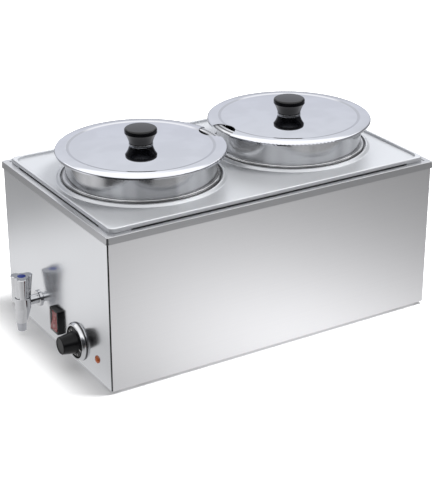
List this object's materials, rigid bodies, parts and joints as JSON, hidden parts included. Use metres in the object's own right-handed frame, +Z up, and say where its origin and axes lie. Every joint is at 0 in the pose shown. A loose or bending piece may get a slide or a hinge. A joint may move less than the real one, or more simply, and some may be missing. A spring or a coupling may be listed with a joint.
{
  "type": "soup warmer",
  "caption": "Wet-well soup warmer: a steel box with a heated water tank, lidded pots hung in a lift-out plate, and a control end with drain tap, switch and thermostat dial.",
  "frame": {"origin": "on the floor, under the middle of the whole object with its tap and cord gland", "axes": "+Z up; X along the long side, with the control end at -X; the long front faces -Y"},
  "size_m": [0.6141, 0.3696, 0.3275],
  "materials": {
    "casing_steel": "brushed stainless sheet",
    "panel_steel": "polished stainless sheet",
    "tank_steel": "pressed stainless sheet",
    "plate_steel": "pressed stainless sheet",
    "pot_steel": "polished stainless sheet",
    "lid_steel": "polished stainless sheet",
    "base_steel": "galvanised sheet",
    "knob_black": "glossy black plastic",
    "tap_chrome": "chrome plated brass",
    "bezel_chrome": "chrome plated",
    "spout_grey": "grey plastic nozzle",
    "button_blue": "blue plastic",
    "switch_black": "black plastic",
    "rocker_red": "red plastic",
    "cover_clear": "clear soft cover",
    "dial_black": "black plastic with white marks",
    "lens_orange": "orange lamp lens",
    "foot_rubber": "black rubber",
    "seal_rubber": "red silicone seal",
    "hose_rubber": "silicone hose",
    "fastener_steel": "zinc plated steel",
    "fitting_brass": "turned brass",
    "element_steel": "oxidised steel sheath",
    "copper": "copper",
    "body_plastic": "dark moulded plastic",
    "wire_cover": "silicone wire covering"
  },
  "bodies": {
    "cabinet": {"casing_sides": "casing_steel", "control_panel": "panel_steel", "end_panel": "panel_steel", "water_tank": "tank_steel", "base_plate": "base_steel", "tap_body": "tap_chrome", "tap_flange": "tap_chrome", "dial_bezel": "bezel_chrome", "spout_tip": "spout_grey", "switch_housing": "switch_black", "switch_cover": "cover_clear", "pilot_lens": "lens_orange", "feet": "foot_rubber", "element_washers": "seal_rubber", "tap_washer": "seal_rubber", "drain_hose": "hose_rubber", "foot_screws": "fastener_steel", "foot_nuts": "fastener_steel", "base_screws": "fastener_steel", "thermostat_screws": "fastener_steel", "block_screws": "fastener_steel", "bulb_clip": "fastener_steel", "element_supports": "fastener_steel", "drain_outlet": "fitting_brass", "drain_nut": "fitting_brass", "tap_lock_nut": "fitting_brass", "tap_bonnet": "fitting_brass", "element_bushings": "fitting_brass", "element_nuts": "fitting_brass", "switch_terminals": "fitting_brass", "heating_element": "element_steel", "sensing_bulb": "copper", "capillary_tube": "copper", "thermostat_body": "body_plastic", "pilot_body": "body_plastic", "pilot_nut": "body_plastic", "terminal_block": "body_plastic", "cord_gland": "body_plastic", "gland_nut": "body_plastic", "internal_wires": "wire_cover"},
    "thermostat_dial": {"thermostat_knob": "dial_black", "thermostat_shaft": "fastener_steel"},
    "rocker": {"switch_rocker": "rocker_red"},
    "tap_key": {"tap_handle": "tap_chrome", "tap_spindle": "fitting_brass", "handle_screw": "fastener_steel", "tap_button": "button_blue"},
    "top_plate": {"adaptor_plate": "plate_steel"},
    "pot_left_body": {"pot_left": "pot_steel"},
    "pot_right_body": {"pot_right": "pot_steel"},
    "lid_left_body": {"lid_left": "lid_steel", "lid_knob_left": "knob_black", "knob_ring_left": "bezel_chrome", "knob_washer_left": "fastener_steel", "knob_screw_left": "fastener_steel"},
    "lid_right_body": {"lid_right": "lid_steel", "lid_knob_right": "knob_black", "knob_ring_right": "bezel_chrome", "knob_washer_right": "fastener_steel", "knob_screw_right": "fastener_steel"}
  },
  "joints": [
    {"name": "dial_turn", "type": "hinge", "parent": "cabinet", "child": "thermostat_dial", "pos_m": [-0.28037, -0.07525, 0.0395], "axis": [1, 0, 0], "range_deg": [0, 270]},
    {"name": "rocker_rock", "type": "hinge", "parent": "cabinet", "child": "rocker", "pos_m": [-0.26777, -0.00775, 0.046], "axis": [0, -1, 0], "range_deg": [0, 16]},
    {"name": "tap_turn", "type": "hinge", "parent": "cabinet", "child": "tap_key", "pos_m": [-0.29237, 0.05925, 0.0639], "axis": [0, 0, 1], "range_deg": [0, 90]},
    {"name": "plate_lift", "type": "slide", "parent": "cabinet", "child": "top_plate", "axis": [0, 0, 1], "range_m": [0, 0.16]},
    {"name": "pot_left_lift", "type": "slide", "parent": "top_plate", "child": "pot_left_body", "axis": [0, 0, 1], "range_m": [0, 0.15]},
    {"name": "pot_right_lift", "type": "slide", "parent": "top_plate", "child": "pot_right_body", "axis": [0, 0, 1], "range_m": [0, 0.15]},
    {"name": "lid_left_lift", "type": "slide", "parent": "pot_left_body", "child": "lid_left_body", "axis": [0, 0, 1], "range_m": [0, 0.06]},
    {"name": "lid_right_lift", "type": "slide", "parent": "pot_right_body", "child": "lid_right_body", "axis": [0, 0, 1], "range_m": [0, 0.06]}
  ]
}
